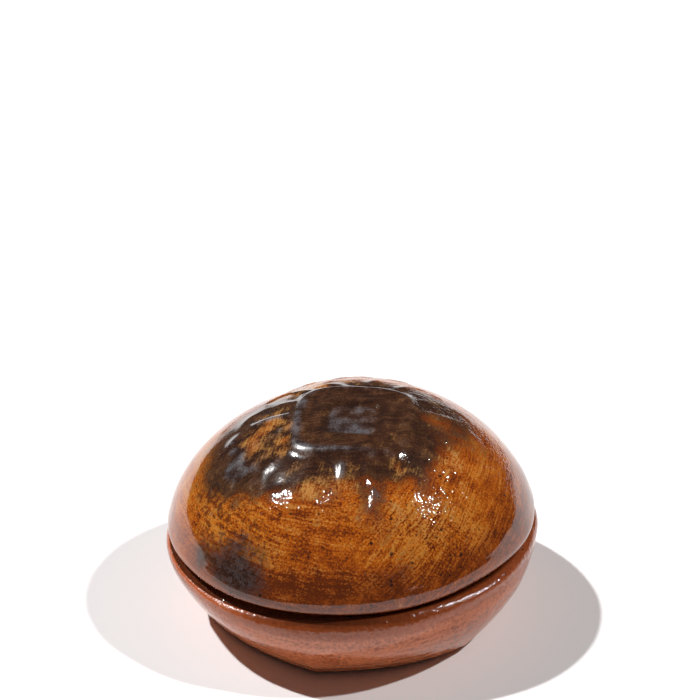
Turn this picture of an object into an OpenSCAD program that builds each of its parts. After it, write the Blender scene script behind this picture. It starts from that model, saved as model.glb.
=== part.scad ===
// Round incense box of glazed ceramic: a bowl-shaped body and a domed lid over its inner ring.
// The origin is the middle of the foot on the table, +Z is up and -Y is the front.
// The seam leans a little, as on a hand-built box: it is lower at the left and at the front.

/* [Body] */
// Radius at the body's widest line, at the sides
body_r = 38.4; // [32:0.1:47]
// How much further the body reaches at the front and the back
body_oval = 0.7; // [0:0.1:2]
// Height of the ledge's inner edge, round the inner ring, above the table, on the axis
seam_h = 19.2; // [15.5:0.1:24]
// Radius at the lower edge of the wall
base_r = 31.4; // [25:0.1:38]
// Height of the rounding that takes the wall into the foot
base_round = 1.8; // [0.8:0.1:2.4]
// Fullness of the wall: 1 is a cone, and 2 stands upright at the widest line
wall_power = 1.8; // [1.4:0.05:2.6]
// Loss of that fullness on the wall's flattest side
wall_flat = 0.45; // [0:0.05:0.5]
// Direction of the flattest side, from +X
flat_turn = 205; // [0:1:359]
// Fall of the rounded rim from the ledge to the widest line
rim_drop = 1.3; // [0.8:0.1:2]
// Further fall of the rim's outer line at the front, where it sagged before firing
rim_sag = 1.2; // [0:0.1:1.5]
// Dip of the ledge at the left of the front, where the seam stands open
ledge_dip = 1; // [0:0.1:1.4]
// Width of the rounded rim
rim_round = 2.2; // [1.2:0.1:2.8]
// Share of that width that is lost on the wall's flattest side, where the rim stays sharp
rim_crisp = 0.65; // [0:0.05:0.8]
// Rise and fall of the rim's outer line round the box, from the hand that shaped it
rim_wave = 0.5; // [0:0.1:0.6]
// Direction in which the rim's outer line is highest, from +X
rim_wave_turn = 312; // [0:1:359]
// Thickness of the floor, on the axis
floor_t = 5.2; // [4.6:0.1:7]

/* [Foot] */
// Width of the flat ring that the box stands on
foot_ring_w = 5; // [3:0.5:8]
// Depth of the hollow inside that ring
foot_hollow_d = 0.9; // [0.5:0.1:1.5]

/* [Knife cuts] */
// Number of broad cuts round the foot of the wall
cut_count = 6; // [4:1:9]
// Depth of the deepest cut
cut_d = 1.8; // [0:0.1:3]
// Direction of the deepest cut, from +X
cut_turn = 227; // [0:1:359]

/* [Seam] */
// Rise of the seam towards the right
seam_roll = 2.6; // [0:0.1:4]
// Rise of the seam towards the back
seam_pitch = 2.4; // [0:0.1:4]
// Width of the ledge outside the inner ring
ledge_w = 4.9; // [4.2:0.1:7]
// Height of the inner ring above the ledge
ring_h = 3.2; // [2:0.1:5]
// Thickness of the inner ring
ring_w = 2.6; // [2:0.1:4]
// Bevel on the top edges of the inner ring
ring_bevel = 0.5; // [0.2:0.1:0.8]
// Room between the inner ring and the lid's recess, all round
lid_clear = 0.45; // [0.3:0.05:0.8]

/* [Lid] */
// Open gap between the ledge and the lid's lower edge
lip_gap = 0.9; // [0.4:0.1:1.5]
// How far the lid's widest line stays inside the body's
lid_inset = 0.7; // [0:0.1:1.2]
// Height of the rounding under the lid's widest line
lip_round = 1.4; // [0.8:0.1:2]
// How far that rounding draws the lower edge in
lip_draw = 0.5; // [0.2:0.1:1]
// Height of the smooth crown above the ledge
lid_h = 26.0; // [21:0.1:32]
// Fullness of the dome in plan: 2 is an ellipse
dome_power_r = 2.18; // [1.8:0.01:2.6]
// Fullness of the dome in height: 2 is an ellipse
dome_power_z = 1.52; // [1.3:0.01:2.4]
// Thickness of the lid at its crown
lid_wall = 5.4; // [4.4:0.1:8]

/* [Relief] */
// Place of the basin to the right of the lid's axis
basin_x = 1.5; // [-4:0.1:4]
// Place of the basin behind the lid's axis
basin_y = -4.4; // [-5:0.1:4]
// Turn of the basin, seen from above
basin_turn = -7; // [-45:1:45]
// Half the width of the basin, to the top of its border
basin_half = 11.2; // [8:0.1:13]
// Squareness of the basin: 2 is round
basin_power = 5; // [2:0.5:8]
// Height of the basin's border above the dome
border_h = 0.8; // [0.3:0.1:1.4]
// Half the width of the border
border_w = 1.4; // [1:0.1:2.2]
// Half the width of the well in the middle of the basin
well_half = 5.6; // [3:0.1:8]
// Depth of the well
well_d = 1.1; // [0.4:0.1:1.8]
// Number of petals round the basin
petal_count = 16; // [8:4:20]
// Height of the ribs between the petals
rib_h = 0.5; // [0.2:0.1:1.2]
// Sharpness of a rib
rib_power = 2.5; // [1:0.5:4]
// Distance from the basin's middle where the ribs are highest
petal_r = 18.5; // [16:0.1:20]
// Half the length of a petal
petal_len = 5.5; // [3:0.1:7]
// Depth of the pressed flat on the back of the left shoulder
press_d = 1.2; // [0:0.1:2]
// Direction of the pressed flat, from +X
press_turn = 150; // [0:1:359]

/* [Hidden] */
$fn = 96;

// Points round the body, a whole number for each knife cut
body_steps = 16 * cut_count;
// Points round the lid, a whole number for each petal
lid_steps = 8 * petal_count;
// Rings of points from the body's widest line to its lower edge
wall_rings = 9;
// Rings of points on a rounded edge
edge_rings = 4;
// Rings of points over the relief, and from there down to the lid's widest line
relief_rings = 24;
flank_rings = 9;
// Points on the profile of a turned hollow
hollow_steps = 14;
// Overlap that fuses one shape with another, or lets a cut run clear of a face
fuse = 1;

// Waves of the rim's outer line round the box
rim_waves = 4;
// Direction of the rim's sag and of the ledge's dip, and the angular reach of each
sag_turn = 280;
sag_spread = 50;
dip_turn = 232;
dip_spread = 28;
// Inward run of a straight wall for each unit of its fall
base_run = (body_r - base_r) / (seam_h - rim_drop - base_round);
// Angular reach of the wall's flattest side, to each hand
flat_spread = 32;

// The inner ring, and the hollows that fit to it
ring_r = body_r - ledge_w;
bowl_r = ring_r - ring_w;
recess_r = ring_r + lid_clear;
bowl_d = seam_h - floor_t;
// Fullness of the bowl's hollow in profile
bowl_power = 2.6;
lid_r = body_r - lid_inset;
lip_top = lip_gap + lip_round;
dome_rise = lid_h - lip_top;
ceiling_h = lid_h - lid_wall;

// Where the relief ends, and the angle on the dome's profile there
relief_r = norm([basin_x, basin_y]) + petal_r + petal_len;
relief_end = asin(pow(relief_r / lid_r, dome_power_r / 2));
// Distance of the pressed flat from the axis, its angular reach and its reach along the dome
press_r = 21.5;
press_spread = 38;
press_len = 9;

body_colour = [0.55, 0.24, 0.14];
lid_colour = [0.60, 0.29, 0.07];

// Places a child that is drawn on the seam's own axis, with the ledge at zero height.
module on_seam() {
    translate([0, 0, seam_h])
        rotate([seam_pitch, -seam_roll, 0])
            children();
}

// The same move for a point.
function from_seam(p) =
    let (
        y1 = p.y * cos(seam_pitch) - p.z * sin(seam_pitch),
        z1 = p.y * sin(seam_pitch) + p.z * cos(seam_pitch)
    )
    [
        p.x * cos(seam_roll) - z1 * sin(seam_roll),
        y1,
        seam_h + p.x * sin(seam_roll) + z1 * cos(seam_roll)
    ];

// A smooth hill of height 1 at zero, which dies away past the reach.
function hill(distance, reach) = exp(-pow(distance / reach, 2));

// A smooth step from 0 below one value to 1 above another.
function ease(value, low, high) =
    let (u = min(1, max(0, (value - low) / (high - low))))
    u * u * (3 - 2 * u);

// The shorter way round between two directions.
function turn_between(a, b) = let (d = abs(a - b) % 360) min(d, 360 - d);

// Closes a stack of rings, listed from the bottom up with equal counts, into one solid.
// The top is flat, or rises from the last ring to a peak.
module ring_solid(rings, peak = []) {
    count = len(rings[0]);
    last = len(rings) - 1;
    crown = last * count;
    sides = [
        for (i = [0:last - 1], j = [0:count - 1])
            let (k = (j + 1) % count, low = i * count, high = low + count)
            each [[low + j, high + j, high + k], [low + j, high + k, low + k]]
    ];
    floor_face = [for (j = [0:count - 1]) j];
    flat_top = [[for (j = [count - 1:-1:0]) crown + j]];
    peaked_top = [for (j = [0:count - 1]) [crown + (j + 1) % count, crown + j, crown + count]];
    top_faces = len(peak) == 0 ? flat_top : peaked_top;
    polyhedron(
        points = concat([for (ring = rings) each ring], peak),
        faces = concat([floor_face], sides, top_faces),
        convexity = 6
    );
}

// Reach of the body's widest line in a direction.
function body_reach(a) = body_r + body_oval * pow(sin(a), 2);

// Fall of the ledge in a direction, from the inner ring out to the rim.
function ledge_fall(a) = ledge_dip * hill(turn_between(a, dip_turn), dip_spread);

// Fall of the rounded rim in a direction, from the ledge to the widest line.
function rim_fall(a) =
    let (
        wave = rim_wave * cos(rim_waves * (a - rim_wave_turn)),
        sag = rim_sag * hill(turn_between(a, sag_turn), sag_spread)
    )
    rim_drop + sag - wave;

// Width of the rounded rim in a direction.
function rim_width(a) = rim_round * (1 - rim_crisp * hill(turn_between(a, flat_turn), flat_spread));

// Depth of the knife cuts in a direction: flat between two corners, and shallower on the far side.
function knife_cut(a) =
    let (
        span = 360 / cut_count,
        off = (a - cut_turn + span / 2 + 720) % span - span / 2,
        flat = 1 - (1 / cos(off) - 1) / (1 / cos(span / 2) - 1),
        lean = 0.5 + 0.5 * cos(a - cut_turn)
    )
    cut_d * flat * lean;

// Fullness of the wall in a direction.
function wall_fullness(a) = wall_power - wall_flat * hill(turn_between(a, flat_turn), flat_spread);

// Lower edge of the wall in a direction.
function base_point(a) =
    let (r = base_r - knife_cut(a))
    [r * cos(a), r * sin(a), base_round];

// Ring of the rounding under the wall, from the wall's lower edge at 0 to the table at 1.
function foot_ring(down) = [
    for (j = [0:body_steps - 1])
        let (
            a = 360 * j / body_steps,
            slope = wall_fullness(a) * base_run,
            draw = base_round * (2 * slope * down + (1 - slope) * pow(down, 2)),
            r = base_r - knife_cut(a) - draw
        )
        [r * cos(a), r * sin(a), base_round * pow(1 - down, 2)]
];

// Ring of the wall, from its lower edge at 0 to the widest line at 1.
function wall_ring(up) = [
    for (j = [0:body_steps - 1])
        let (
            a = 360 * j / body_steps,
            low = base_point(a),
            reach = body_reach(a),
            high = from_seam([reach * cos(a), reach * sin(a), -ledge_fall(a) - rim_fall(a)]),
            out = 1 - pow(1 - up, wall_fullness(a))
        )
        [low.x + (high.x - low.x) * out, low.y + (high.y - low.y) * out, low.z + (high.z - low.z) * up]
];

// Ring of the rounded rim, from the widest line at 0 to the ledge at 90.
function rim_ring(u) = [
    for (j = [0:body_steps - 1])
        let (
            a = 360 * j / body_steps,
            r = body_reach(a) - rim_width(a) * (1 - cos(u)),
            z = -ledge_fall(a) - rim_fall(a) * (1 - sin(u))
        )
        from_seam([r * cos(a), r * sin(a), z])
];

// Ring of the ledge's inner edge, which lies inside the inner ring.
function ledge_ring() = [
    for (j = [0:body_steps - 1])
        let (
            a = 360 * j / body_steps,
            r = ring_r - fuse
        )
        from_seam([r * cos(a), r * sin(a), 0])
];

module body_outside() {
    ring_solid(concat(
        [for (i = [edge_rings:-1:1]) foot_ring(i / edge_rings)],
        [for (i = [0:wall_rings]) wall_ring(i / wall_rings)],
        [for (i = [1:edge_rings]) rim_ring(90 * i / edge_rings)],
        [ledge_ring()]
    ));
}

// Upstanding ring that the lid sits on, with bevelled top edges.
module inner_ring() {
    rotate_extrude()
        polygon([
            [bowl_r - fuse, -fuse],
            [ring_r, -fuse],
            [ring_r, ring_h - ring_bevel],
            [ring_r - ring_bevel, ring_h],
            [bowl_r - fuse, ring_h]
        ]);
}

// Hollow of the bowl, open at the top, with a rounded floor.
module bowl_hollow() {
    rotate_extrude()
        polygon(concat(
            [[0, ring_h + fuse], [bowl_r, ring_h + fuse]],
            [
                for (i = [0:hollow_steps])
                    let (u = 90 * i / hollow_steps)
                    [bowl_r * pow(cos(u), 2 / bowl_power), -bowl_d * pow(sin(u), 2 / bowl_power)]
            ]
        ));
}

// Shallow hollow inside the ring of the foot.
module foot_hollow() {
    r = base_r - base_round * (1 + wall_power * base_run) - cut_d - foot_ring_w;
    translate([0, 0, -fuse])
        cylinder(r1 = r + fuse, r2 = r - foot_hollow_d, h = fuse + foot_hollow_d);
}

module body() {
    color(body_colour)
        difference() {
            union() {
                body_outside();
                on_seam() inner_ring();
            }
            on_seam() bowl_hollow();
            foot_hollow();
        }
}

// Half-width of a rounded square, of a power, as a share of its reach in a direction.
function square_share(a, power) =
    let (turned = a - basin_turn)
    pow(pow(abs(cos(turned)), power) + pow(abs(sin(turned)), power), 1 / power);

// Height of the relief over the smooth dome at a place on the lid.
function relief(x, y) =
    let (
        r = norm([x - basin_x, y - basin_y]),
        a = atan2(y - basin_y, x - basin_x),
        square = r * square_share(a, basin_power),
        border = border_h * hill(square - basin_half, border_w),
        well = well_d * (1 - ease(square, well_half - border_w, well_half + border_w)),
        outside = ease(square, basin_half, basin_half + 2 * border_w),
        rib = rib_h * pow(0.5 - 0.5 * cos(petal_count * a), rib_power) * hill(r - petal_r, petal_len),
        press = press_d
            * hill(turn_between(atan2(y, x), press_turn), press_spread)
            * hill(norm([x, y]) - press_r, press_len)
    )
    border - well + outside * rib - press;

// Height of the smooth dome at a distance from the lid's axis.
function dome_height(r) =
    lip_top + dome_rise * pow(max(0, 1 - pow(r / lid_r, dome_power_r)), 1 / dome_power_z);

// Point on the lid's upper surface.
function dome_point(x, y) = [x, y, dome_height(norm([x, y])) + relief(x, y)];

// Ring of the dome of radius r: square round the basin, and round and on the lid's axis at its edge.
function dome_ring(r) = [
    for (j = [0:lid_steps - 1])
        let (
            a = 360 * j / lid_steps,
            outer = ease(r, basin_half, relief_r),
            power = basin_power + (2 - basin_power) * outer,
            reach = r / square_share(a, power),
            x = reach * cos(a) + basin_x * (1 - outer),
            y = reach * sin(a) + basin_y * (1 - outer)
        )
        dome_point(x, y)
];

// Radii of the dome's rings, from its widest line to its crown.
dome_radii = concat(
    [
        for (i = [flank_rings:-1:1])
            let (u = relief_end + (90 - relief_end) * i / flank_rings)
            lid_r * pow(sin(u), 2 / dome_power_r)
    ],
    [for (i = [relief_rings:-1:1]) relief_r * i / relief_rings]
);

// Ring of the rounding under the widest line, from the lower edge at 90 to the widest line at 0.
function lip_ring(u) = [
    for (j = [0:lid_steps - 1])
        let (
            a = 360 * j / lid_steps,
            r = lid_r - lip_draw * (1 - cos(u))
        )
        [r * cos(a), r * sin(a), lip_top - lip_round * sin(u)]
];

module lid_outside() {
    rings = concat(
        [for (i = [edge_rings:-1:1]) lip_ring(90 * i / edge_rings)],
        [for (r = dome_radii) dome_ring(r)]
    );
    ring_solid(rings, peak = [dome_point(basin_x, basin_y)]);
}

// Recess that drops over the inner ring, and the hollow of the dome above it.
module lid_hollow() {
    translate([0, 0, -fuse])
        cylinder(r = recess_r, h = ring_h + fuse);
    rotate_extrude()
        polygon(concat(
            [[0, ring_h - fuse], [bowl_r, ring_h - fuse]],
            [
                for (i = [hollow_steps:-1:0])
                    let (u = 90 * i / hollow_steps)
                    [
                        bowl_r * pow(sin(u), 2 / dome_power_r),
                        ring_h + (ceiling_h - ring_h) * pow(cos(u), 2 / dome_power_z)
                    ]
            ]
        ));
}

module lid() {
    color(lid_colour)
        on_seam()
            difference() {
                lid_outside();
                lid_hollow();
            }
}

body();
lid();
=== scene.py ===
"""Round incense box of glazed ceramic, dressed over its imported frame.

A bowl-shaped body with an upstanding inner ring carries a domed lid. Lengths in the classes are in
millimetres, as on a maker's drawing, and the meshes are written in metres.
"""

from __future__ import annotations

import logging
import math
from dataclasses import dataclass, field
from enum import Enum
from itertools import product
from typing import Any, Mapping, Sequence, Union

import bpy
import numpy as np
from mathutils import Matrix, Vector


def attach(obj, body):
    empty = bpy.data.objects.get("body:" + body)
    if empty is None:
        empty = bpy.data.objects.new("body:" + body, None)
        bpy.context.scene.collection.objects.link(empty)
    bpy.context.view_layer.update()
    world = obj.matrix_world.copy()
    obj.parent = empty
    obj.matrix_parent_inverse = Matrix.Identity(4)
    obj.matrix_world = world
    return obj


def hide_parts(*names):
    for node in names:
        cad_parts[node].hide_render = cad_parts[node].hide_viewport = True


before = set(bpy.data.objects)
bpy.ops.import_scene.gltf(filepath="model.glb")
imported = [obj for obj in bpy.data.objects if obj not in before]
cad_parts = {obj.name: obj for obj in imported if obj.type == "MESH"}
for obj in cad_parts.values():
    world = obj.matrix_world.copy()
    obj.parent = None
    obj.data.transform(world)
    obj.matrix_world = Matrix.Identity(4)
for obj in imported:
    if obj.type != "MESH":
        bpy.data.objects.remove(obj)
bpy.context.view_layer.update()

MM = 0.001
GLAZE_IOR = 1.57
NOISE_MIDDLE = 0.5
LOG = logging.getLogger("incense_box")

Array = np.ndarray
Colour = tuple[float, float, float]
Span = tuple[float, float]


class Mark(str, Enum):
    """What a finish can ask about a place on a piece, stored with the mesh."""

    BARE = "bare"
    INSIDE = "inside"
    EDGE = "edge"
    DARK = "dark"
    RIDGE = "ridge"
    GROOVE = "groove"
    HOLLOW = "hollow"
    OCHRE = "ochre"
    WINE = "wine"
    SMOKE = "smoke"
    RIGHT = "right"
    LEFT = "left"
    CALM = "calm"
    GRIME = "grime"
    LEAN = "lean"


Marks = Mapping[Mark, Union[Array, float]]


def hill(distance: Array, reach: float) -> Array:
    """A smooth hill of height 1 at zero, which dies away past the reach."""
    return np.exp(-((distance / reach) ** 2))


def ease(value: Array, low: float, high: float) -> Array:
    """A smooth step from 0 below one value to 1 above another."""
    u = np.clip((np.asarray(value) - low) / (high - low), 0.0, 1.0)
    return u * u * (3.0 - 2.0 * u)


def turn_past(a: Array, b: float) -> Array:
    """The shorter way round from one direction to others in degrees, with its sign."""
    return (a - b + 180.0) % 360.0 - 180.0


def turn_between(a: Array, b: float) -> Array:
    """The shorter way round between directions in degrees."""
    return np.abs(turn_past(a, b))


@dataclass(frozen=True)
class Side:
    """A side of a round piece: its direction and spread in degrees, and the strength of what is there."""

    turn: float
    spread: float
    strength: float = 1.0

    def at(self, turns: Array) -> Array:
        """The strength in each direction, which dies away past the spread."""
        return self.strength * hill(turn_between(turns, self.turn), self.spread)


class Lumps:
    """Smooth seeded noise in space, within -1 and 1, for the unevenness of hand-shaped clay."""

    SIZE = 24

    def __init__(self, seed: int, pitch: float) -> None:
        """Draws the noise's lattice.

        Args:
            seed: Seed of the random draw.
            pitch: Distance between the lattice's points, in millimetres.
        """
        self.grid = np.random.default_rng(seed).uniform(-1.0, 1.0, (self.SIZE,) * 3)
        self.pitch = pitch

    def at(self, points: Array) -> Array:
        """Reads the noise.

        Args:
            points: Places in space, with their three coordinates last.

        Returns:
            One value for each place.
        """
        place = np.asarray(points) / self.pitch
        cell = np.floor(place).astype(int)
        t = place - cell
        t = t * t * t * (t * (6.0 * t - 15.0) + 10.0)
        total = np.zeros(place.shape[:-1])
        for corner in product((0, 1), repeat=3):
            weight = np.prod(np.where(np.array(corner), t, 1.0 - t), axis=-1)
            i, j, k = np.moveaxis((cell + corner) % self.SIZE, -1, 0)
            total += weight * self.grid[i, j, k]
        return total


def add_object(name: str, data: Any) -> bpy.types.Object:
    """Makes an object from its data and links it to the scene.

    Args:
        name: The object's name.
        data: Its mesh, light or camera.

    Returns:
        The new object.
    """
    made = bpy.data.objects.new(name, data)
    bpy.context.scene.collection.objects.link(made)
    return made


class Skin:
    """A closed skin of rings of equal count, with a point at each end."""

    def __init__(self, name: str) -> None:
        """Starts an empty skin.

        Args:
            name: The piece's name.
        """
        self.name = name
        self.rings: list[Array] = []
        self.marks: list[Marks] = []

    def add(self, points: Array, marks: Marks) -> None:
        """Adds a ring of points, in millimetres, with its marks."""
        self.rings.append(points)
        self.marks.append(marks)

    def build(self) -> bpy.types.Object:
        """Makes the mesh.

        Returns:
            The new object, linked to the scene, with each mark that occurs as an attribute.
        """
        rings = np.stack(self.rings)
        count, steps, _ = rings.shape
        ends = [rings[0].mean(axis=0, keepdims=True), rings[-1].mean(axis=0, keepdims=True)]
        points = np.concatenate([ends[0], rings.reshape(-1, 3), ends[1]]) * MM
        here = 1 + np.arange(count * steps).reshape(count, steps)
        beside = np.roll(here, -1, axis=1)
        quads = np.stack([here[:-1], here[1:], beside[1:], beside[:-1]], axis=-1).reshape(-1, 4)
        first = np.stack([np.zeros(steps, int), here[0], beside[0]], axis=-1)
        last = np.stack([here[-1], np.full(steps, len(points) - 1), beside[-1]], axis=-1)
        mesh = bpy.data.meshes.new(self.name)
        mesh.from_pydata(points.tolist(), [], first.tolist() + quads.tolist() + last.tolist())
        mesh.shade_smooth()
        for mark in Mark:
            if any(mark in ring for ring in self.marks):
                self._write(mesh, mark, steps)
        return add_object(self.name, mesh)

    def _write(self, mesh: bpy.types.Mesh, mark: Mark, steps: int) -> None:
        """Stores one mark on the mesh's points.

        Args:
            mesh: The skin's mesh.
            mark: The mark.
            steps: Count of points in each ring.
        """
        rows = [np.broadcast_to(ring.get(mark, 0.0), (steps,)) for ring in self.marks]
        values = np.concatenate([[rows[0].mean()], *rows, [rows[-1].mean()]])
        layer = mesh.attributes.new(mark.value, "FLOAT", "POINT")
        layer.data.foreach_set("value", values.astype(np.float32))


class Value:
    """A shader socket whose arithmetic adds Math nodes."""

    def __init__(self, graph: Graph, socket: bpy.types.NodeSocket) -> None:
        """Wraps an output socket of the graph."""
        self.graph = graph
        self.socket = socket

    def __add__(self, other: Number) -> Value:
        """Sum."""
        return self.graph.math("ADD", self, other)

    def __sub__(self, other: Number) -> Value:
        """Difference."""
        return self.graph.math("SUBTRACT", self, other)

    def __mul__(self, other: Number) -> Value:
        """Product."""
        return self.graph.math("MULTIPLY", self, other)

    def __radd__(self, other: float) -> Value:
        """Sum with a number on the left."""
        return self.graph.math("ADD", other, self)

    def __rsub__(self, other: float) -> Value:
        """Difference from a number on the left."""
        return self.graph.math("SUBTRACT", other, self)

    def __rmul__(self, other: float) -> Value:
        """Product with a number on the left."""
        return self.graph.math("MULTIPLY", other, self)

    def step(self, low: Number, high: Number) -> Value:
        """A smooth step from 0 at one value to 1 at another.

        Args:
            low: Where it is still 0.
            high: Where it reaches 1.

        Returns:
            The step.
        """
        return self.graph.node(
            "ShaderNodeMapRange",
            {"interpolation_type": "SMOOTHSTEP"},
            {"Value": self, "From Min": low, "From Max": high},
            "Result",
        )

    def held(self) -> Value:
        """The value kept within 0 and 1."""
        return self.graph.node("ShaderNodeClamp", {}, {"Value": self}, "Result")

    def swing(self, amount: float) -> Value:
        """How far noise swings to either side of its middle, times an amount."""
        return (self - NOISE_MIDDLE) * amount


Number = Union[Value, float]


class Graph:
    """The nodes of a material or of the world."""

    SPECK_CORE = 0.6
    SPECK_LEAST = 0.001

    def __init__(self, tree: bpy.types.NodeTree) -> None:
        """Empties the tree."""
        self.tree = tree
        tree.nodes.clear()

    def node(
        self,
        kind: str,
        settings: Mapping[str, Any],
        inputs: Mapping[Union[str, int], Any],
        out: Union[str, int] = 0,
    ) -> Value:
        """Adds a node.

        Args:
            kind: The node's type.
            settings: Its properties, set first. A ramp's stops are given as "stops".
            inputs: Values or links of its sockets, by name or number.
            out: The output to hand back.

        Returns:
            That output.
        """
        made = self.tree.nodes.new(kind)
        for name, value in settings.items():
            if name == "stops":
                self._stops(made.color_ramp, value)
            else:
                setattr(made, name, value)
        for name, value in inputs.items():
            socket = made.inputs[name]
            if isinstance(value, Value):
                self.tree.links.new(value.socket, socket)
            elif socket.type == "RGBA" and len(value) == 3:
                socket.default_value = (*value, 1.0)
            else:
                socket.default_value = value
        return Value(self, made.outputs[out]) if made.outputs else Value(self, made.inputs[0])

    @staticmethod
    def _stops(ramp: bpy.types.ColorRamp, stops: Sequence[tuple[float, Colour]]) -> None:
        """Sets a ramp's stops.

        Args:
            ramp: The node's ramp.
            stops: Places and colours of the stops.
        """
        while len(ramp.elements) < len(stops):
            ramp.elements.new(1.0)
        for element, (place, colour) in zip(ramp.elements, stops):
            element.position = place
            element.color = (*colour, 1.0)

    def math(self, operation: str, a: Number, b: Number) -> Value:
        """One Math node."""
        return self.node("ShaderNodeMath", {"operation": operation}, {0: a, 1: b})

    def mix(self, amount: Number, under: Any, over: Any) -> Value:
        """Lays one colour over another."""
        settings = {"data_type": "RGBA", "blend_type": "MIX", "clamp_factor": True}
        return self.node("ShaderNodeMix", settings, {0: amount, 6: under, 7: over}, 2)

    def ramp(self, value: Value, stops: Sequence[tuple[float, Colour]]) -> Value:
        """Turns a value into a colour."""
        return self.node("ShaderNodeValToRGB", {"stops": stops}, {"Fac": value}, "Color")

    def mark(self, mark: Mark) -> Value:
        """Reads a mark of the mesh."""
        return self.node("ShaderNodeAttribute", {"attribute_name": mark.value}, {}, "Fac")

    def place(self) -> Value:
        """The place on the piece, in millimetres."""
        spot = self.node("ShaderNodeTexCoord", {}, {}, "Object")
        return self.node("ShaderNodeVectorMath", {"operation": "SCALE"}, {0: spot, "Scale": 1.0 / MM})

    def noise(self, place: Value, pitch: float, detail: float, out: str = "Fac") -> Value:
        """Cloudy noise of a pitch in the place's units."""
        inputs = {"Vector": place, "Scale": 1.0 / pitch, "Detail": detail}
        return self.node("ShaderNodeTexNoise", {}, inputs, out)

    def brushed(self, place: Value, turn: Sequence[float], size: Sequence[float], detail: float) -> Value:
        """Noise drawn out along brush strokes.

        Args:
            place: The place on the piece.
            turn: Turn of the strokes' own axes, in degrees, whose third axis runs across the strokes.
            size: Size of a stroke along its own axes, in millimetres.
            detail: Levels of finer noise.

        Returns:
            The noise, from 0 to 1.
        """
        inputs = {"Vector": place, "Rotation": [math.radians(t) for t in turn], "Scale": size}
        laid = self.node("ShaderNodeMapping", {"vector_type": "TEXTURE"}, inputs)
        return self.noise(laid, 1.0, detail)

    def specks(self, place: Value, pitch: float, size: float, share: float) -> Value:
        """Small round specks.

        Args:
            place: The place on the piece.
            pitch: Distance between places where a speck can be.
            size: Radius of the largest, as a share of the pitch.
            share: Share of those places that have one.

        Returns:
            1 on a speck and 0 beside it.
        """
        inputs = {"Vector": place, "Scale": 1.0 / pitch}
        cells = self.node("ShaderNodeTexVoronoi", {}, inputs, "Distance")
        tint = Value(self, cells.socket.node.outputs["Color"])
        lot = self.node("ShaderNodeSeparateColor", {}, {"Color": tint}, 0)
        reach = self.math("MAXIMUM", (lot - (1.0 - share)) * (size / share), self.SPECK_LEAST)
        return 1.0 - cells.step(reach * self.SPECK_CORE, reach)

    def glazed(self, colour: Value, roughness: Value, height: Value) -> None:
        """Ends a material in glossy glaze.

        Args:
            colour: The glaze's colour.
            roughness: Its roughness, to be kept within 0 and 1.
            height: Height of its surface, in millimetres.
        """
        bump = self.node("ShaderNodeBump", {}, {"Distance": MM, "Height": height})
        inputs = {"Base Color": colour, "Roughness": roughness.held(), "Normal": bump, "IOR": GLAZE_IOR}
        shine = self.node("ShaderNodeBsdfPrincipled", {}, inputs)
        self.node("ShaderNodeOutputMaterial", {}, {"Surface": shine})


def new_material(name: str) -> tuple[bpy.types.Material, Graph]:
    """Makes an empty material.

    Args:
        name: The material's name.

    Returns:
        The material, and the graph that its nodes go in.
    """
    material = bpy.data.materials.new(name)
    material.use_nodes = True
    return material, Graph(material.node_tree)


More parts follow.
